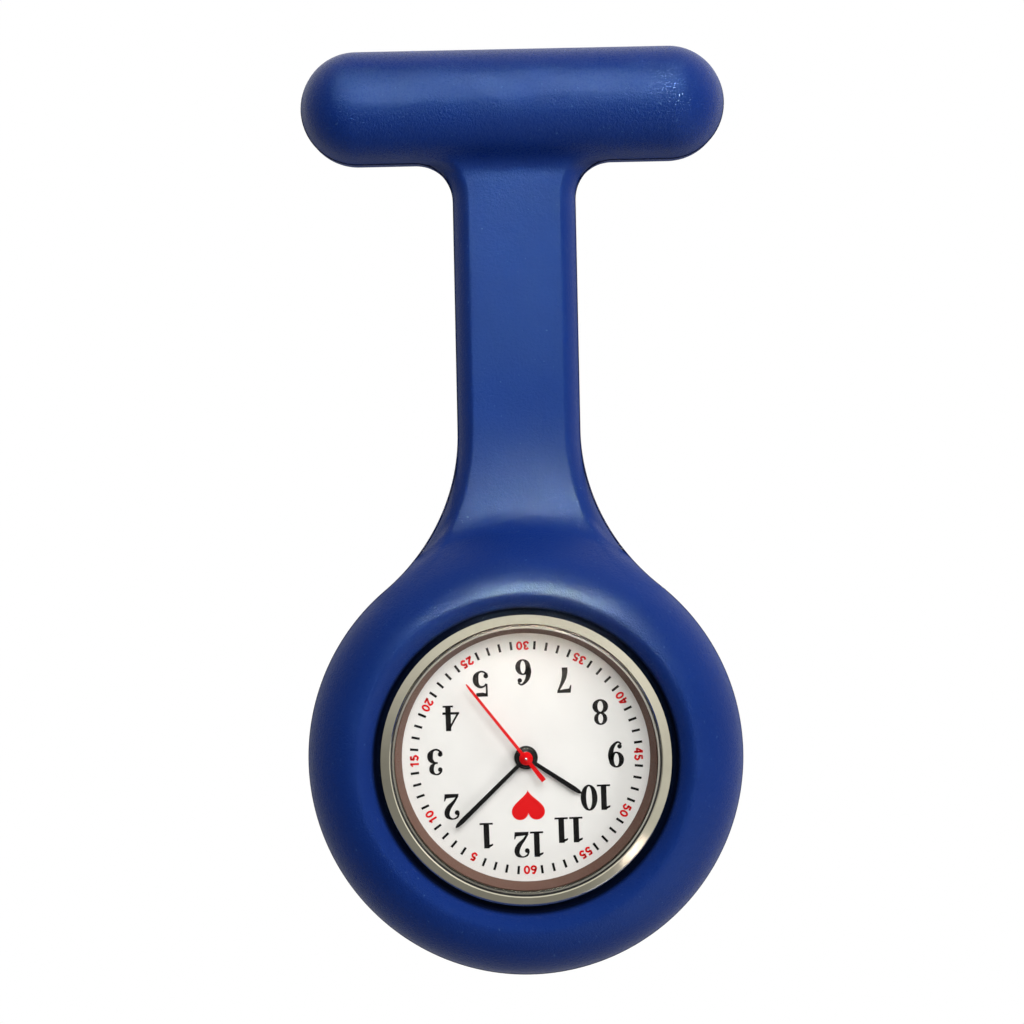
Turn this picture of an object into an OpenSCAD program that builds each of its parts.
// Fob watch: a quartz watch head held in a moulded silicone holder, which hangs from a bar with a brooch pin.
// It is worn hanging, so the dial's 12 points down: the wearer lifts it and reads it the right way up.
// +Z runs up along the holder, the dial faces -Y, and the origin is the middle of the brooch pin's wire.

/* [Holder] */
// Distance from the middle of the bar to the middle of the dial
drop = 62.4; // [56:0.1:90]
// Outer diameter of the ring round the watch head
ring_d = 41.3; // [39:0.1:50]
// Height of the ring's crest above the back of the holder
ring_h = 9.6; // [9:0.1:12]
// Height of the ring's upright outer wall, where its dome starts
ring_edge_h = 5; // [3:0.1:5.5]
// Fullness of the ring's dome: 2 is an ellipse, and less has a flatter flank and a sharper crest
crest_power = 1.6; // [1.4:0.05:2.4]
// Rounding of the holder's back edges
back_round = 0.8; // [0.3:0.1:1.1]
// Gap round the bezel, inside the ring's window
window_gap = 0.62; // [0.3:0.02:1.2]
// Width of the rounding between the window and the ring's crest
window_round = 1.6; // [0.8:0.1:2]
// Thickness of the wall behind the watch head
back_wall = 1.2; // [1:0.05:2]
// Length of the bar at the top
bar_l = 40.6; // [37:0.1:60]
// Width of the bar, seen from the front
bar_w = 10.7; // [9.5:0.1:14]
// Thickness of the bar
bar_t = 7.95; // [7:0.05:9]
// Width of the strap
strap_w = 11.74; // [8:0.02:16]
// Thickness of the strap
strap_t = 3.5; // [2.6:0.1:4.5]
// Width of the strap's rounded shoulders
shoulder_w = 1.6; // [0.6:0.1:2.2]
// Height of the strap's rounded shoulders
shoulder_h = 2.2; // [0.8:0.1:2.4]
// Fullness of the strap's shoulders: 2 is an ellipse, and less is nearer to a chamfer
shoulder_power = 1.5; // [1.4:0.05:2.4]
// Radius of the curve from the strap into the ring
neck_r = 19.5; // [12:0.1:26]
// Radius of the curve from the strap into the bar
bar_fillet = 3.6; // [2:0.1:5]

/* [Brooch] */
// Diameter of the pin's wire
wire_d = 0.9; // [0.8:0.02:1]
// Length of the plain wire that goes through the cloth
wire_l = 22; // [18:0.1:24]
// Distance from the holder's back to the middle of the wire
wire_gap = 1.6; // [1.5:0.05:2.4]
// Width of the steel plate in the bar
plate_w = 4.6; // [4.2:0.1:5.4]
// Thickness of the steel plate
plate_t = 0.8; // [0.5:0.05:1]
// Depth of the plate below the bar's back
plate_depth = 1.3; // [1:0.05:1.6]
// Outer diameter of the turning lock in the catch
lock_d = 2.1; // [2:0.05:2.4]
// Length of the fixed catch
catch_l = 2.4; // [1.8:0.1:2.8]
// Length of the lock's finger tab, from its axis
tab_l = 2.3; // [1.9:0.1:2.6]

/* [Watch head] */
// Diameter of the case
head_d = 27.3; // [26.6:0.1:30]
// Height of the case, from its seat in the holder to the top of the bezel
case_h = 7.2; // [7:0.05:8]
// Width of the bezel's polished slope
bezel_w = 0.93; // [0.7:0.01:1.05]
// Height of the bezel's polished slope
bezel_h = 0.35; // [0.2:0.05:0.8]
// Height of the groove that the holder's lip grips, from the seat of the case
groove_h = 5; // [4.2:0.05:5.2]
// Depth of that groove
groove_d = 0.5; // [0.3:0.05:0.6]
// Width of that groove
groove_w = 0.8; // [0.5:0.05:1.2]
// Thickness of the crystal
crystal_t = 1.2; // [0.8:0.05:1.3]
// Width of the sloping ring between the crystal and the dial
rehaut_w = 0.6; // [0.15:0.01:0.6]
// Thickness of the dial
dial_t = 0.4; // [0.3:0.05:0.5]
// Diameter of the crown
crown_d = 3.4; // [2.8:0.1:3.6]
// Length of the crown
crown_l = 1.9; // [1.7:0.1:2.2]
// Distance that the crown pulls out
crown_pull = 1; // [0.6:0.05:1.2]

/* [Hands] */
// Length of the hour hand
hour_l = 6.24; // [4:0.02:9]
// Length of the minute hand
minute_l = 9.34; // [6:0.02:11]
// Length of the second hand
second_l = 9.04; // [6:0.02:11]
// Length of the second hand's tail
tail_l = 2.68; // [1.2:0.02:4]
// Greatest width of the hour and minute hands
hand_w = 0.46; // [0.34:0.02:0.8]
// Width of the second hand, near its tip
second_w = 0.25; // [0.12:0.01:0.3]
// Width of the second hand's tail, at its end
tail_w = 0.46; // [0.2:0.02:0.8]
// Time shown: hours
time_h = 10; // [0:1:11]
// Time shown: minutes
time_m = 7.75; // [0:0.05:59.95]
// Time shown: seconds
time_s = 23.7; // [0:0.1:59.9]

/* [Movement] */
// Width of the movement, between 3 and 9 o'clock
movement_w = 17.8; // [17.4:0.1:18.4]
// Height of the movement, between 12 and 6 o'clock
movement_h = 15.3; // [15:0.1:16]
// Thickness of the main plate
plate_main_t = 0.5; // [0.4:0.05:0.6]
// Thickness of the train bridge
bridge_t = 0.3; // [0.2:0.02:0.4]
// Diameter of the battery
battery_d = 6.8; // [5.8:0.1:6.8]
// Thickness of the battery
battery_t = 2.1; // [1.6:0.1:2.1]
// Diameter of the arbors of the train
arbor_d = 0.2; // [0.16:0.01:0.22]

/* [Fits] */
// Gap between a moulding and what it holds
nest = 0.05; // [0.02:0.01:0.1]
// Radial clearance of what turns on a pin or an arbor
run = 0.03; // [0.02:0.005:0.05]
// Gap between pieces that are pressed together
snug = 0.02; // [0.01:0.005:0.03]

/* [Hidden] */
$fn = 96;
eps = 0.01;
over = 1;
lap = 0.1;

// Heights above the holder's back, from the back of the watch head to its front
crystal_sink = 0.15;
hand_room = 1.7;
motion_room = 1;
train_room = 1.45;
cover_proud = 0.7;
cover_t = 0.5;
stem_drop = 0.1;
case_z = back_wall + nest;
bezel_z = case_z + case_h;
crystal_z = bezel_z - crystal_sink - crystal_t;
dial_z = crystal_z - hand_room - dial_t;
main_z = dial_z - motion_room - plate_main_t;
bridge_z = main_z - train_room - bridge_t;
cover_out_z = case_z - cover_proud;
cover_in_z = cover_out_z + cover_t;
stem_z = main_z - stem_drop;
groove_z = case_z + groove_h;

// Radii of the watch head
gasket_t = 0.16;
ledge_w = 0.12;
bezel_lip = 0.1;
seat_w = 0.75;
snap_w = 0.3;
snap_ledge = 0.95;
cover_wall = 0.4;
case_r = head_d / 2;
opening_r = case_r - bezel_w;
crystal_r = opening_r - gasket_t;
cavity_r = crystal_r - ledge_w;
inner_r = cavity_r - nest;
groove_r = case_r - groove_d;
flange_r = case_r - seat_w;
snap_r = flange_r - snap_w;
cover_r = snap_r - snap_ledge;

// The snap of the case back, up from the seat of the case
snap_h = 0.4;
rim_h = 1;
shelf_h = 1.25;

// The ring of the holder
pull_hole = 0.2;
ring_r = ring_d / 2;
window_r = case_r + window_gap;
crest_r = window_r + window_round;
back_hole_r = cover_r + pull_hole;
bar_r = bar_w / 2;
bar_axis_z = bar_t - bar_r;
shoulder_z = strap_t - shoulder_h;
strap_hw = strap_w / 2;
neck_x = strap_hw + neck_r;
neck_y = sqrt(pow(ring_r + neck_r, 2) - pow(neck_x, 2)) - drop;
fillet_x = strap_hw + bar_fillet;
fillet_y = -bar_r - bar_fillet;

// The brooch, along the bar
wire_r = wire_d / 2;
wire_end = wire_l / 2;
barrel_r = 0.9;
barrel_l = 1.8;
rivet_r = 0.3;
hinge_x = wire_end + 2 * barrel_r;
ear_t = 0.5;
lock_r = lock_d / 2;
root_r = wire_r + 0.15;
tip_r = 0.05;
tip_l = 1.4;
tab_t = 0.7;
tab_w = 0.8;
tab_gap = 0.1;
lock_gap = 0.2;
lock_x = -wire_end - lock_gap;
catch_x = lock_x - tab_t - tab_gap;
catch_end = catch_x - catch_l;
catch_wall = 0.45;
slot_play = 0.15;
plate_end = [0.8, 2.4];
plate_x0 = catch_end - plate_end[0];
plate_x1 = hinge_x + plate_end[1];
plate_lip = 0.5;
plate_hold = 0.6;

// The crown, along the stem
tube_r = 0.85;
tube_bore_r = 0.45;
tube_proud = 0.9;
crown_gap = 0.3;
crown_room_r = 0.35;
crown_bore_r = tube_r + 0.3;
crown_skirt = 1.25;
crown_socket = 0.35;
crown_x = case_r + crown_gap;
crown_end = crown_x + crown_l;
pinion_r = 0.9;
pinion_hub_r = 0.62;
pinion_face = 0.45;
pinion_x = 7;
pinion_l = 1.4;
stem_square_r = 0.3;
pilot_r = 0.22;
stem_r = tube_bore_r - run - snug;
stem_tip = 5;

// The gear train: teeth, modules and the places of the arbors
rotor_z = 6;
inter_wheel_z = 36;
inter_pinion_z = 8;
second_wheel_z = 40;
second_pinion_z = 8;
third_wheel_z = 60;
third_pinion_z = 8;
centre_wheel_z = 64;
cannon_z = 12;
minute_wheel_z = 36;
minute_pinion_z = 10;
hour_wheel_z = 40;
setting_wheel_z = 22;
rotor_m = 0.08;
second_m = 0.105;
third_m = 0.075;
third_a = (second_pinion_z + third_wheel_z) * third_m / 2;
centre_m = 2 * third_a / (third_pinion_z + centre_wheel_z);
motion_a = 2.6;
cannon_m = 2 * motion_a / (cannon_z + minute_wheel_z);
hour_m = 2 * motion_a / (minute_pinion_z + hour_wheel_z);
inter_a = (inter_pinion_z + second_wheel_z) * second_m / 2;
rotor_a = (rotor_z + inter_wheel_z) * rotor_m / 2;
setting_a = (minute_wheel_z + setting_wheel_z) * cannon_m / 2;
third_dir = 160;
inter_dir = 30;
rotor_dir = 75;
minute_dir = 215;
setting_dir = 170;
third_at = polar(third_a, third_dir);
inter_at = polar(inter_a, inter_dir);
rotor_at = inter_at + polar(rotor_a, rotor_dir);
minute_at = polar(motion_a, minute_dir);
setting_at = minute_at + polar(setting_a, setting_dir);
minute_phase = mesh_phase(minute_dir, cannon_z, minute_dir, minute_wheel_z);
wheel_t = 0.2;
shake = 0.15;
end_play = 0.05;
third_lift = 0.12;
centre_drop = 0.4;
hour_drop = 0.5;
second_z = bridge_z + bridge_t + shake;
inter_z = second_z + wheel_t + shake;
third_z = inter_z + third_lift;
centre_z = main_z - centre_drop;
minute_z = main_z + plate_main_t + shake;
hour_z = dial_z - hour_drop;
arbor_r = arbor_d / 2;
seconds_r = 0.15;
centre_tube_r = 0.5;
hour_tube_r = 0.8;
dial_bore_r = hour_tube_r + shake;
magnet_r = 0.6;
post_r = 0.25;

// Other pieces of the movement, from the middle of the dial
corner_gap = 0.8;
corner_r = cover_r - cover_wall - corner_gap;
plate_rim = 0.6;
battery_r = battery_d / 2;
battery_at = [4.65, -3.65];
battery_gap = 0.1;
battery_z = main_z + plate_main_t - battery_gap - battery_t;
pillars = [[-5.6, 4.5], [5.5, 1.4], [-1.4, -4.3]];
pillar_r = 0.5;
screw_r = 0.25;
screw_head_r = 0.6;
screw_head_t = 0.25;
coil_y = 6.2;
coil_r = 0.6;
coil_l = 6.6;
cheek_t = 0.2;
core_end = 1.6;
core_l = coil_l + 2 * core_end;
core_w = 1.2;
core_neck = 0.2;
core_drop = 0.9;
core_z = main_z - core_drop;
core_t = 0.35;
board_rise = 0.35;
board_z = bridge_z + board_rise;
board_t = 0.2;
board_edge = 0.3;
board_corner = [board_edge - movement_w / 2, board_edge - movement_h / 2];
can_r = 0.56;
can_l = 4.2;
dial_feet = [[7.2, 4.6], [-7.2, -4.6]];
foot_r = 0.35;
lever_t = 0.3;
lever_z = stem_z - 0.5;
lever_hole_r = 0.25;
lever_at = [-6.7, 2.5];
yoke_at = [-5.3, -3.6];

// The hands, from the dial to the crystal
hand_t = 0.15;
hand_gap = 0.35;
hand_step = 0.4;
hour_hand_z = dial_z + dial_t + hand_gap;
minute_hand_z = hour_hand_z + hand_step;
second_hand_z = minute_hand_z + hand_step;
hour_angle = 30 * time_h + time_m / 2;
minute_angle = 6 * time_m;
second_angle = 6 * time_s;
hub_r = 1.12;
minute_hub_r = 0.9;
second_hub_r = 0.64;
hub_edge = 0.07;
hand_root = 0.76;
second_root = 1.2;
tail_root = 0.78;
hand_tip = 0.25;
hand_taper = 0.8;

function polar(r, a) = r * [cos(a), sin(a)];

// Points along a stretch of an ellipse
function arc(cx, cy, rx, ry, a0, a1, n) =
    [for (i = [0:n]) let (a = a0 + (a1 - a0) * i / n) [cx + rx * cos(a), cy + ry * sin(a)]];

// The same along an oval of another fullness than an ellipse's, within a quarter
function oval(cx, cy, rx, ry, a0, a1, n, power) =
    [for (p = arc(0, 0, 1, 1, a0, a1, n))
        [cx + rx * sign(p[0]) * pow(abs(p[0]), 2 / power), cy + ry * pow(abs(p[1]), 2 / power)]];

// The angle at which gear b meshes with gear a, which lies the other way along dir
function mesh_phase(dir, za, phase_a, zb) = dir + 180 + 180 / zb + (dir - phase_a) * za / zb;

// A watch gear: radial flanks below the pitch circle and ogive tips above it
TOOTH = [[-0.21, -1.3], [-0.21, 0], [-0.13, 0.62], [0, 1], [0.13, 0.62], [0.21, 0], [0.21, -1.3]];
function gear_points(z, m) =
    [for (i = [0:z - 1]) for (p = TOOTH) polar(m * (z / 2 + p[1]), 360 / z * (i + p[0]))];

// Places a piece that is drawn with x across, y up and z out of the holder's back
module worn() {
    translate([0, -wire_gap, 0]) rotate([90, 0, 0]) children();
}

// Places a piece that is drawn round the middle of the dial
module head() {
    worn() translate([0, -drop, 0]) children();
}

// Turns a hand that is drawn pointing at 12 to its angle on the dial, which hangs upside down
module on_dial(angle) {
    head() rotate([0, 0, 180 - angle]) children();
}

module disc(r, z, h) {
    translate([0, 0, z]) cylinder(r = r, h = h);
}

module tube(r_out, r_in, z, h) {
    translate([0, 0, z]) difference() {
        cylinder(r = r_out, h = h);
        translate([0, 0, -over]) cylinder(r = r_in, h = h + 2 * over);
    }
}

// A cylinder along x, from x0 to x1, at height z
module rod(r, x0, x1, z) {
    translate([x0, 0, z]) rotate([0, 90, 0]) cylinder(r = r, h = x1 - x0);
}

module block(low, high) {
    translate(low) cube(high - low);
}

module gear(z, m, at_z, h, phase) {
    translate([0, 0, at_z]) rotate([0, 0, phase]) linear_extrude(h) polygon(gear_points(z, m));
}

// ---------------------------------------------------------------- holder

// What the strap's rounded shoulder and back edge take away: x is 0 at the outline and grows inwards
module shoulder_profile(side) {
    polygon(concat(
        [for (p = oval(shoulder_w, shoulder_z, shoulder_w, shoulder_h, 180, 90, 8, shoulder_power))
            [side * p[0], p[1]]],
        [[side * shoulder_w, strap_t + over], [-side * over, strap_t + over], [-side * over, shoulder_z]]
    ));
    polygon(concat(
        [for (p = arc(back_round, back_round, back_round, back_round, 180, 270, 5)) [side * p[0], p[1]]],
        [[side * back_round, -over], [-side * over, -over], [-side * over, back_round]]
    ));
}

// Cuts a concave corner of the strap's outline, with the shoulder carried round it
module corner_cut(x, y, r) {
    translate([x, y, -over]) cylinder(r = r, h = strap_t + 2 * over);
    translate([x, y, 0]) rotate_extrude() translate([r, 0]) shoulder_profile(1);
}

module strap() {
    tangent = ring_r * [neck_x, neck_y + drop] / (ring_r + neck_r) - [0, drop];
    difference() {
        linear_extrude(strap_t) polygon([
            [-fillet_x, 0], [-fillet_x, fillet_y], [-strap_hw, fillet_y],
            [-strap_hw, neck_y], [-tangent[0], tangent[1]], [0, -drop],
            [tangent[0], tangent[1]], [strap_hw, neck_y],
            [strap_hw, fillet_y], [fillet_x, fillet_y], [fillet_x, 0]
        ]);
        for (side = [-1, 1]) {
            corner_cut(side * fillet_x, fillet_y, bar_fillet);
            corner_cut(side * neck_x, neck_y, neck_r);
            translate([side * strap_hw, fillet_y, 0]) rotate([90, 0, 0])
                linear_extrude(fillet_y - neck_y) shoulder_profile(-side);
        }
    }
}

// Half of the bar's section: a flat back with a rounded edge, an upright wall and a round front
function bar_outline() = concat(
    [[0, 0]],
    arc(bar_r - back_round, back_round, back_round, back_round, -90, 0, 5),
    arc(0, bar_axis_z, bar_r, bar_r, 0, 90, 16)
);

// The bar is that section drawn along x, and turned about its last point at each end
module bar() {
    straight = bar_l / 2 - bar_r;
    translate([-straight, 0, 0]) rotate([90, 0, 90]) linear_extrude(2 * straight) union() {
        polygon(bar_outline());
        mirror([1, 0]) polygon(bar_outline());
    }
    for (x = [-straight, straight]) translate([x, 0, 0]) rotate_extrude() polygon(bar_outline());
}

function ring_outline() = concat(
    [[back_hole_r, 0]],
    arc(ring_r - back_round, back_round, back_round, back_round, -90, 0, 5),
    oval(crest_r, ring_edge_h, ring_r - crest_r, ring_h - ring_edge_h, 0, 90, 16, crest_power),
    oval(crest_r, ring_h - window_round, window_round, window_round, 100, 180, 7, crest_power),
    [
        [window_r, groove_z + groove_w],
        [groove_r + nest, groove_z + groove_w - nest],
        [groove_r + nest, groove_z + nest],
        [case_r + nest, groove_z + nest],
        [case_r + nest, back_wall],
        [back_hole_r, back_wall]
    ]
);

module ring() {
    translate([0, -drop, 0]) rotate_extrude($fn = 144) polygon(ring_outline());
}

// The room that the watch head and its crown take in the holder
module head_room() {
    translate([0, -drop, 0]) {
        disc(case_r + nest, back_wall, ring_h);
        disc(back_hole_r, -over, ring_h);
    }
}

module crown_room() {
    translate([0, -drop, 0])
        rod(crown_d / 2 + crown_room_r, -crown_end - crown_pull - crown_room_r, -case_r + over, stem_z);
}

// The sleeve that the brooch's plate is pushed into, and the slit in the back that its ends stand in
module brooch_room() {
    block([plate_x0 - nest, -plate_w / 2 - nest, plate_depth - nest],
          [plate_x1 + nest, plate_w / 2 + nest, plate_depth + plate_t + nest]);
    block([plate_x0 + plate_hold, -plate_w / 2 + plate_lip, -over],
          [plate_x1 - plate_hold, plate_w / 2 - plate_lip, plate_depth]);
}

module holder() {
    color("royalblue") worn() difference() {
        union() {
            bar();
            difference() {
                strap();
                head_room();
            }
            ring();
        }
        crown_room();
        brooch_room();
    }
}

// ---------------------------------------------------------------- brooch

module brooch_base() {
    color("silver") worn() difference() {
        union() {
            block([plate_x0, -plate_w / 2, plate_depth], [plate_x1, plate_w / 2, plate_depth + plate_t]);
            for (side = [-1, 1]) {
                ear_y = side > 0 ? barrel_l / 2 + run : -barrel_l / 2 - run - ear_t;
                block([hinge_x - barrel_r, ear_y, -wire_gap],
                      [hinge_x + barrel_r, ear_y + ear_t, plate_depth + eps]);
                translate([hinge_x, ear_y, -wire_gap]) rotate([-90, 0, 0]) cylinder(r = barrel_r, h = ear_t);
            }
            rod(lock_r + run + catch_wall, catch_end, catch_x, -wire_gap);
            block([catch_end, -lock_r, -wire_gap + lock_r + run],
                  [catch_x, lock_r, plate_depth + eps]);
        }
        translate([hinge_x, -plate_w, -wire_gap]) rotate([-90, 0, 0])
            cylinder(r = rivet_r + snug, h = 2 * plate_w);
        rod(lock_r + run, catch_end - over, catch_x + over, -wire_gap);
        block([catch_end - over, -wire_r - slot_play, -2 * wire_gap - lock_r],
              [catch_x + over, wire_r + slot_play, -wire_gap]);
        for (x = [-wire_end / 2, wire_end / 2])
            translate([x, 0, 0]) disc(plate_w / 4, 0, plate_depth + plate_t + over);
    }
}

// The wire grows thicker to its root, and tapers through the catch to its tip
module brooch_pin() {
    root_x = hinge_x - barrel_r / 2;
    color("gainsboro") worn() difference() {
        union() {
            translate([0, 0, -wire_gap]) rotate([0, 90, 0]) rotate_extrude($fn = 48) polygon([
                [0, catch_end - tip_l], [tip_r, catch_end - tip_l], [wire_r, -wire_end],
                [wire_r, wire_end], [root_r, root_x], [0, root_x]
            ]);
            translate([hinge_x, -barrel_l / 2, -wire_gap]) rotate([-90, 0, 0])
                cylinder(r = barrel_r, h = barrel_l);
        }
        translate([hinge_x, -plate_w, -wire_gap]) rotate([-90, 0, 0])
            cylinder(r = rivet_r + run, h = 2 * plate_w);
    }
}

module hinge_rivet() {
    reach = barrel_l / 2 + run + ear_t;
    head_t = 0.24;
    color("darkgray") worn() translate([hinge_x, 0, -wire_gap]) rotate([-90, 0, 0]) {
        translate([0, 0, -reach - snug]) cylinder(r = rivet_r, h = 2 * (reach + snug));
        for (side = [-1, 1])
            translate([0, 0, side * (reach + snug + head_t / 2) - head_t / 2])
                cylinder(r = 2 * rivet_r, h = head_t);
    }
}

// A slotted barrel that turns in the catch: its slot lets the wire in, and a quarter turn closes it
module catch_lock() {
    color("silver") worn() translate([0, 0, -wire_gap]) difference() {
        union() {
            rod(lock_r, catch_end, lock_x, 0);
            block([lock_x - tab_t, 0, -tab_w / 2], [lock_x, tab_l, tab_w / 2]);
        }
        rod(wire_r + nest, catch_end - over, lock_x + over, 0);
        block([catch_end - over, -wire_r - snug, -2 * lock_r], [lock_x + over, wire_r + snug, 0]);
    }
}

// ---------------------------------------------------------------- case

module case_body() {
    chamfer = 0.2;
    color("silver") head() difference() {
        rotate_extrude($fn = 144) polygon([
            [flange_r + nest, case_z], [case_r - chamfer, case_z], [case_r, case_z + chamfer],
            [case_r, groove_z], [groove_r, groove_z], [groove_r, groove_z + groove_w],
            [case_r, groove_z + groove_w], [case_r, bezel_z - bezel_h], [opening_r + bezel_lip, bezel_z],
            [opening_r, bezel_z - bezel_lip], [opening_r, crystal_z - nest], [cavity_r, crystal_z - nest],
            [cavity_r, case_z + shelf_h], [snap_r + nest, case_z + shelf_h],
            [snap_r + nest, case_z + snap_h], [flange_r + nest, case_z + snap_h]
        ]);
        rod(tube_r + snug, -case_r - over, -snap_r + over, stem_z);
    }
}

module crystal() {
    edge = 0.15;
    color("lightcyan", 0.4) head() rotate_extrude() polygon([
        [0, crystal_z], [crystal_r - snug, crystal_z],
        [crystal_r - snug, crystal_z + crystal_t - edge],
        [crystal_r - snug - edge, crystal_z + crystal_t], [0, crystal_z + crystal_t]
    ]);
}

module crystal_gasket() {
    color("black") head() tube(opening_r - snug, crystal_r, crystal_z, crystal_t - 0.2);
}

// The sloping ring between the crystal and the dial
module rehaut_ring() {
    edge = 0.06;
    top = crystal_z - nest - snug;
    low = dial_z + dial_t;
    color("dimgray") head() rotate_extrude() polygon([
        [inner_r - rehaut_w, low], [inner_r, low], [inner_r, top],
        [inner_r - edge, top], [inner_r - rehaut_w, low + edge]
    ]);
}

module case_back() {
    edge = 0.4;
    color("silver") head() rotate_extrude() polygon([
        [0, cover_out_z], [cover_r - edge, cover_out_z], [cover_r, cover_out_z + 0.75 * edge],
        [cover_r, case_z], [flange_r, case_z], [flange_r, case_z + snap_h - snug],
        [snap_r, case_z + snap_h - snug], [snap_r, case_z + rim_h],
        [cover_r - cover_wall, case_z + rim_h], [cover_r - cover_wall, cover_in_z], [0, cover_in_z]
    ]);
}

module case_back_gasket() {
    gasket_w = 0.4;
    color("black") head()
        tube(snap_r, snap_r - gasket_w, case_z + rim_h + snug, shelf_h - rim_h - 2 * snug);
}

module crown_tube() {
    color("silver") head() difference() {
        rod(tube_r, -case_r - tube_proud, -cavity_r - nest, stem_z);
        rod(tube_bore_r, -case_r - tube_proud - over, -cavity_r + over, stem_z);
    }
}

// A fluted crown, bored to slide over the tube
module crown() {
    flutes = 20;
    flute_r = 0.16;
    rim = 0.25;
    color("silver") head() difference() {
        rod(crown_d / 2, -crown_end, -crown_x, stem_z);
        rod(crown_bore_r, -crown_x - crown_skirt, -crown_x + over, stem_z);
        rod(stem_r + snug, -crown_x - crown_skirt - crown_socket, -crown_x, stem_z);
        for (i = [0:flutes - 1]) translate([0, 0, stem_z]) rotate([360 / flutes * i, 0, 0])
            rod(flute_r, -crown_end + rim, -crown_x + over, crown_d / 2 + nest);
    }
}

module crown_seal() {
    seal_x = 0.15;
    seal_l = 0.4;
    color("black") head() difference() {
        rod(crown_bore_r - run, -crown_x - seal_x - seal_l, -crown_x - seal_x, stem_z);
        rod(tube_r + run, -crown_x - over, -crown_x + over, stem_z);
    }
}

// The stem runs from the crown to a pilot end in the main plate
module winding_stem() {
    square_x = -pinion_x - pinion_l - 0.5;
    color("gray") head() union() {
        rod(stem_r, -crown_x - crown_skirt - crown_socket + nest, square_x + lap, stem_z);
        rod(stem_square_r, square_x, -pinion_x + lap, stem_z);
        rod(pilot_r, -pinion_x, -stem_tip, stem_z);
    }
}

module sliding_pinion() {
    teeth = 14;
    tooth_m = 2 * pinion_r / (teeth + 2);
    color("gray") head() translate([-pinion_x - pinion_l, 0, stem_z]) rotate([0, 90, 0]) difference() {
        union() {
            cylinder(r = pinion_hub_r, h = pinion_l);
            for (z = [0, pinion_l - pinion_face]) gear(teeth, tooth_m, z, pinion_face, 0);
        }
        translate([0, 0, -over]) cylinder(r = stem_square_r + snug, h = pinion_l + 2 * over);
    }
}

// ---------------------------------------------------------------- dial and hands

module dial() {
    color("white") head() difference() {
        union() {
            disc(inner_r, dial_z, dial_t);
            for (p = dial_feet) translate(p) disc(foot_r, main_z + lap, dial_z - main_z);
        }
        disc(dial_bore_r, dial_z - over, dial_t + 2 * over);
    }
}

module dial_washer() {
    washer_r = 1.7;
    washer_t = 0.1;
    color("gold") head() tube(washer_r, dial_bore_r, dial_z - snug - washer_t, washer_t);
}

// A hand that widens towards its tip from a round hub, which has a bevelled edge and a bore
module hand(length, hub, bore, z, root, wide) {
    difference() {
        union() {
            disc(hub, z, hand_t - hub_edge);
            translate([0, 0, z + hand_t - hub_edge]) cylinder(r1 = hub, r2 = hub - hub_edge, h = hub_edge);
            translate([0, 0, z]) linear_extrude(hand_t) polygon([
                [-root / 2, 0], [-wide / 2, length - hand_taper],
                [-wide * 3 / 8, length - hand_taper / 3], [-wide * hand_tip / 2, length],
                [wide * hand_tip / 2, length], [wide * 3 / 8, length - hand_taper / 3],
                [wide / 2, length - hand_taper], [root / 2, 0]
            ]);
        }
        disc(bore, z - over, hand_t + 2 * over);
    }
}

module hour_hand() {
    color("black") on_dial(hour_angle)
        hand(hour_l, hub_r, hour_tube_r + snug, hour_hand_z, hand_root * hand_w, hand_w);
}

module minute_hand() {
    color("black") on_dial(minute_angle)
        hand(minute_l, minute_hub_r, centre_tube_r + snug, minute_hand_z, hand_root * hand_w, hand_w);
}

module second_hand() {
    color("red") on_dial(second_angle) union() {
        hand(second_l, second_hub_r, seconds_r + snug, second_hand_z, second_root * second_w, second_w);
        translate([0, 0, second_hand_z]) linear_extrude(hand_t) polygon([
            [-tail_root * tail_w / 2, -second_hub_r / 2], [-tail_w / 2, -tail_l],
            [tail_w / 2, -tail_l], [tail_root * tail_w / 2, -second_hub_r / 2]
        ]);
    }
}

// ---------------------------------------------------------------- movement: plates

module movement_outline(grow) {
    intersection() {
        square([movement_w + 2 * grow, movement_h + 2 * grow], center = true);
        circle(r = corner_r + grow);
    }
}

// The passage that the stem and its pinion take through a plate or a ring
module stem_passage() {
    room = 0.2;
    rod(pinion_r + room, -case_r, -pinion_x + 4 * room, stem_z);
}

module movement_ring() {
    low = case_z + shelf_h + snug;
    color("white") head() difference() {
        disc(inner_r, low, dial_z - low);
        translate([0, 0, low - over]) linear_extrude(dial_z) movement_outline(nest);
        stem_passage();
    }
}

module main_plate() {
    screw_depth = 0.3;
    color("goldenrod") head() difference() {
        union() {
            translate([0, 0, main_z]) linear_extrude(plate_main_t) movement_outline(0);
            translate([0, 0, main_z]) linear_extrude(dial_z - main_z) difference() {
                movement_outline(0);
                movement_outline(-plate_rim);
            }
            translate(minute_at) disc(post_r, main_z, hour_z - main_z + wheel_t);
            translate(setting_at) disc(post_r, main_z, minute_z - main_z + 2 * wheel_t);
            for (p = pillars) translate(p) disc(pillar_r, bridge_z + bridge_t, main_z - bridge_z);
        }
        stem_passage();
        rod(pilot_r + run, -pinion_x, -stem_tip + snug, stem_z);
        disc(centre_tube_r + run, main_z - over, plate_main_t + 2 * over);
        for (p = [third_at, inter_at, rotor_at])
            translate(p) disc(arbor_r + run, main_z - over, plate_main_t + 2 * over);
        translate(battery_at) disc(battery_r + battery_gap, main_z - over, plate_main_t + 2 * over);
        for (p = dial_feet) translate(p) disc(foot_r + snug, main_z - over, dial_z);
        for (p = pillars) translate(p) disc(screw_r + snug, bridge_z, main_z - bridge_z + screw_depth);
    }
}

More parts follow.
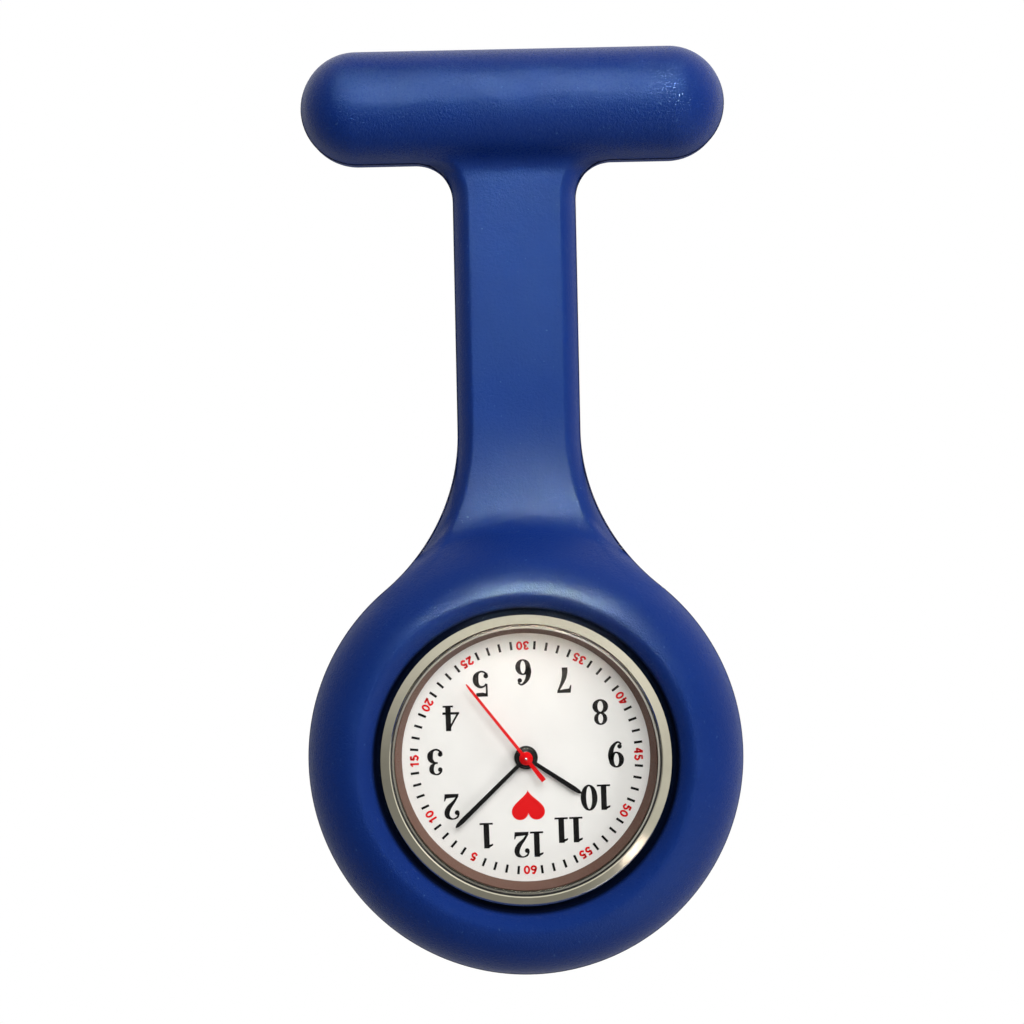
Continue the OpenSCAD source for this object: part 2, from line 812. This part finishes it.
// The bridge spans its three pillars, with a round pad at each and one over the rotor
module train_bridge() {
    pad_r = 0.9;
    color("goldenrod") head() difference() {
        union() {
            translate([0, 0, bridge_z]) linear_extrude(bridge_t) polygon(pillars);
            for (p = pillars) translate(p) disc(pad_r, bridge_z, bridge_t);
            translate(rotor_at) disc(pad_r, bridge_z, bridge_t);
        }
        translate(battery_at) disc(battery_r + battery_gap, bridge_z - over, bridge_t + 2 * over);
        disc(seconds_r + run, bridge_z - over, bridge_t + 2 * over);
        for (p = [third_at, inter_at, rotor_at])
            translate(p) disc(arbor_r + run, bridge_z - over, bridge_t + 2 * over);
        for (p = pillars) translate(p) disc(screw_r + snug, bridge_z - over, bridge_t + 2 * over);
    }
}

// Slotted screws that hold the bridge to its pillars
module movement_screws() {
    slot_w = 0.14;
    slot_depth = 0.12;
    low = bridge_z - screw_head_t;
    color("lightsteelblue") head() for (p = pillars) translate(p) difference() {
        union() {
            disc(screw_r, low, main_z - low);
            disc(screw_head_r, low, screw_head_t);
        }
        block([-over, -slot_w / 2, low - over], [over, slot_w / 2, low + slot_depth]);
    }
}

// ---------------------------------------------------------------- movement: electric side

module circuit_board() {
    arm = [1.8, 10.8];
    foot = [8.5, 2.2];
    color("darkgreen") head() translate([0, 0, board_z]) linear_extrude(board_t) intersection() {
        movement_outline(-board_edge);
        difference() {
            union() {
                translate(board_corner) square(arm);
                translate(board_corner) square(foot);
            }
            translate(battery_at) circle(r = battery_r + board_edge);
        }
    }
}

module quartz_can() {
    at = board_corner + [1.4, 1.15];
    color("silver") head() translate([0, at[1], 0])
        rod(can_r, at[0], at[0] + can_l, board_z + board_t + can_r + snug);
}

module ic_chip() {
    chip = [1.6, 1.6, 0.48];
    color("black") head() translate(concat(board_corner + [6, 0.4], board_z + board_t + snug)) cube(chip);
}

// The coil's core is a flat bar whose ends lie on the stator
module coil_core() {
    waist = core_w / 2 - core_neck;
    inside = coil_l / 2 + snug;
    color("gray") head() translate([0, coil_y, core_z]) union() {
        block([-core_l / 2 + eps, -waist, 0], [core_l / 2 - eps, waist, core_t]);
        block([-core_l / 2, -core_w / 2, 0], [-inside, core_w / 2, core_t]);
        block([inside, -core_w / 2, 0], [core_l / 2, core_w / 2, core_t]);
    }
}

module coil_winding() {
    cheek = 0.12;
    waist = core_w / 2 - core_neck + snug;
    color("chocolate") head() translate([0, coil_y, 0]) difference() {
        union() {
            rod(coil_r, -coil_l / 2, coil_l / 2, core_z + core_t / 2);
            for (x = [-coil_l / 2, coil_l / 2 - cheek_t])
                rod(coil_r + cheek, x, x + cheek_t, core_z + core_t / 2);
        }
        block([-coil_l, -waist, core_z - snug], [coil_l, waist, core_z + core_t + snug]);
    }
}

// The stator's two arms bring the coil's field from the ends of its core to the rotor
module stator() {
    stator_t = 0.2;
    pad_r = 1.3;
    shoulder = 1.2;
    z = core_z + core_t + snug;
    out = core_l / 2;
    in = coil_l / 2 + board_edge;
    top = coil_y + core_w / 2;
    color("gray") head() difference() {
        union() {
            translate(rotor_at) disc(pad_r, z, stator_t);
            translate([0, 0, z]) linear_extrude(stator_t) polygon([
                [-out, top], [-in, top], [-in, coil_y - shoulder],
                rotor_at + [-0.7, 1], rotor_at + [-0.7, -0.7], [-out, coil_y - 2]
            ]);
            translate([0, 0, z]) linear_extrude(stator_t) polygon([
                [out, top], [in, top], [in, coil_y - shoulder],
                rotor_at + [0.3, 1], rotor_at + [0.4, -0.9], [out, coil_y - 2]
            ]);
        }
        translate(rotor_at) disc(magnet_r + 0.2, z - over, stator_t + 2 * over);
        translate(pillars[0]) disc(pillar_r + 0.2, z - over, stator_t + 2 * over);
    }
}

// A button cell: a can with a rounded bottom, and a smaller cap on its seal
module battery() {
    step = 0.5;
    edge = 0.2;
    top = battery_z + battery_t;
    color("silver") head() translate(battery_at) rotate_extrude() polygon([
        [0, battery_z], [battery_r - edge, battery_z], [battery_r, battery_z + edge],
        [battery_r, top - step], [battery_r - step, top - step + edge], [battery_r - step, top], [0, top]
    ]);
}

module battery_contact() {
    pad_r = 1.2;
    tongue = [2.6, 0.8];
    contact_t = 0.08;
    color("gold") head() translate([0, 0, battery_z + battery_t + snug]) linear_extrude(contact_t) union() {
        translate(battery_at) circle(r = pad_r);
        translate(battery_at - [tongue[0], tongue[1] / 2]) square(tongue);
    }
}

module battery_strap() {
    pad_r = 2;
    arm = [1.6, 4.4];
    sheet_t = 0.15;
    color("silver") head() translate([0, 0, bridge_z - sheet_t - snug]) linear_extrude(sheet_t) difference() {
        union() {
            translate(battery_at) circle(r = pad_r);
            translate(battery_at - [arm[0], 0]) square(arm);
        }
        translate(battery_at) circle(r = screw_head_r);
    }
}

// ---------------------------------------------------------------- movement: gear train

module at_arbor(p) {
    head() translate(p) children();
}

// An arbor between its holes in the bridge and in the main plate
module arbor() {
    disc(arbor_r, bridge_z + end_play, main_z - bridge_z + plate_main_t - 4 * end_play);
}

module rotor() {
    color("dimgray") at_arbor(rotor_at) union() {
        arbor();
        gear(rotor_z, rotor_m, inter_z - end_play, wheel_t + 2 * end_play, rotor_dir + 180);
        disc(magnet_r, core_z + core_t - end_play, core_t);
    }
}

module intermediate_wheel() {
    wheel_phase = mesh_phase(rotor_dir + 180, rotor_z, rotor_dir + 180, inter_wheel_z);
    color("khaki") at_arbor(inter_at) union() {
        arbor();
        gear(inter_wheel_z, rotor_m, inter_z, wheel_t - end_play, wheel_phase);
        gear(inter_pinion_z, second_m, second_z - end_play, wheel_t + 3 * end_play, inter_dir + 180);
    }
}

module second_wheel() {
    wheel_phase = mesh_phase(inter_dir + 180, inter_pinion_z, inter_dir + 180, second_wheel_z);
    color("khaki") at_arbor([0, 0]) union() {
        disc(seconds_r, bridge_z + end_play, second_hand_z + hand_t + end_play - bridge_z);
        gear(second_wheel_z, second_m, second_z, wheel_t, wheel_phase);
        gear(second_pinion_z, third_m, second_z + wheel_t - eps, third_z - second_z + end_play, third_dir);
    }
}

module third_wheel() {
    wheel_phase = mesh_phase(third_dir, second_pinion_z, third_dir, third_wheel_z);
    color("khaki") at_arbor(third_at) union() {
        arbor();
        gear(third_wheel_z, third_m, third_z, wheel_t, wheel_phase);
        gear(third_pinion_z, centre_m, third_z + wheel_t - eps, centre_z - third_z + end_play,
            third_dir + 180);
    }
}

// The centre wheel's tube carries the cannon pinion and the minute hand
module centre_wheel() {
    wheel_phase = mesh_phase(third_dir + 180, third_pinion_z, third_dir + 180, centre_wheel_z);
    color("khaki") at_arbor([0, 0]) difference() {
        union() {
            disc(centre_tube_r, centre_z - end_play, minute_hand_z + hand_t - centre_z + end_play);
            gear(centre_wheel_z, centre_m, centre_z, wheel_t, wheel_phase);
            gear(cannon_z, cannon_m, minute_z - end_play, wheel_t + 2 * end_play, minute_dir);
        }
        disc(seconds_r + run, centre_z - over, minute_hand_z);
    }
}

module minute_wheel() {
    color("khaki") at_arbor(minute_at) difference() {
        union() {
            gear(minute_wheel_z, cannon_m, minute_z, wheel_t, minute_phase);
            gear(minute_pinion_z, hour_m, minute_z + wheel_t - eps, hour_z - minute_z + end_play,
                minute_dir + 180);
        }
        disc(post_r + run, minute_z - over, 2 * over + wheel_t);
    }
}

// The wheel that the sliding pinion would turn to set the hands
module setting_wheel() {
    color("khaki") at_arbor(setting_at) difference() {
        gear(setting_wheel_z, cannon_m, minute_z, wheel_t,
            mesh_phase(setting_dir, minute_wheel_z, minute_phase, setting_wheel_z));
        disc(post_r + run, minute_z - over, 2 * over + wheel_t);
    }
}

module hour_wheel() {
    wheel_phase = mesh_phase(minute_dir + 180, minute_pinion_z, minute_dir + 180, hour_wheel_z);
    color("khaki") at_arbor([0, 0]) difference() {
        union() {
            disc(hour_tube_r, hour_z, hour_hand_z + hand_t - hour_z);
            gear(hour_wheel_z, hour_m, hour_z, wheel_t, wheel_phase);
        }
        disc(centre_tube_r + run, hour_z - over, hour_hand_z);
    }
}

// A flat lever on a pin at p, with the corners of its outline given from there
module lever(p, corners) {
    translate([0, 0, lever_z]) linear_extrude(lever_t) translate(p) difference() {
        polygon(corners);
        circle(r = lever_hole_r);
    }
}

module setting_lever() {
    color("silver") head()
        lever(lever_at, [[-1.6, -1.1], [-0.7, -1.2], [0.5, -0.5], [0.6, 0.5], [-0.3, 0.7], [-1.5, -0.1]]);
}

module yoke() {
    color("silver") head()
        lever(yoke_at, [[-2.7, 2.3], [-1.9, 2.3], [0.7, 0.2], [0.3, -0.6], [-0.6, -0.2]]);
}

holder();
brooch_base();
brooch_pin();
hinge_rivet();
catch_lock();
case_body();
crystal();
crystal_gasket();
rehaut_ring();
case_back();
case_back_gasket();
crown_tube();
crown();
crown_seal();
winding_stem();
sliding_pinion();
dial();
dial_washer();
hour_hand();
minute_hand();
second_hand();
movement_ring();
main_plate();
train_bridge();
movement_screws();
circuit_board();
quartz_can();
ic_chip();
coil_core();
coil_winding();
stator();
rotor();
intermediate_wheel();
second_wheel();
third_wheel();
centre_wheel();
minute_wheel();
setting_wheel();
hour_wheel();
battery();
battery_contact();
battery_strap();
setting_lever();
yoke();
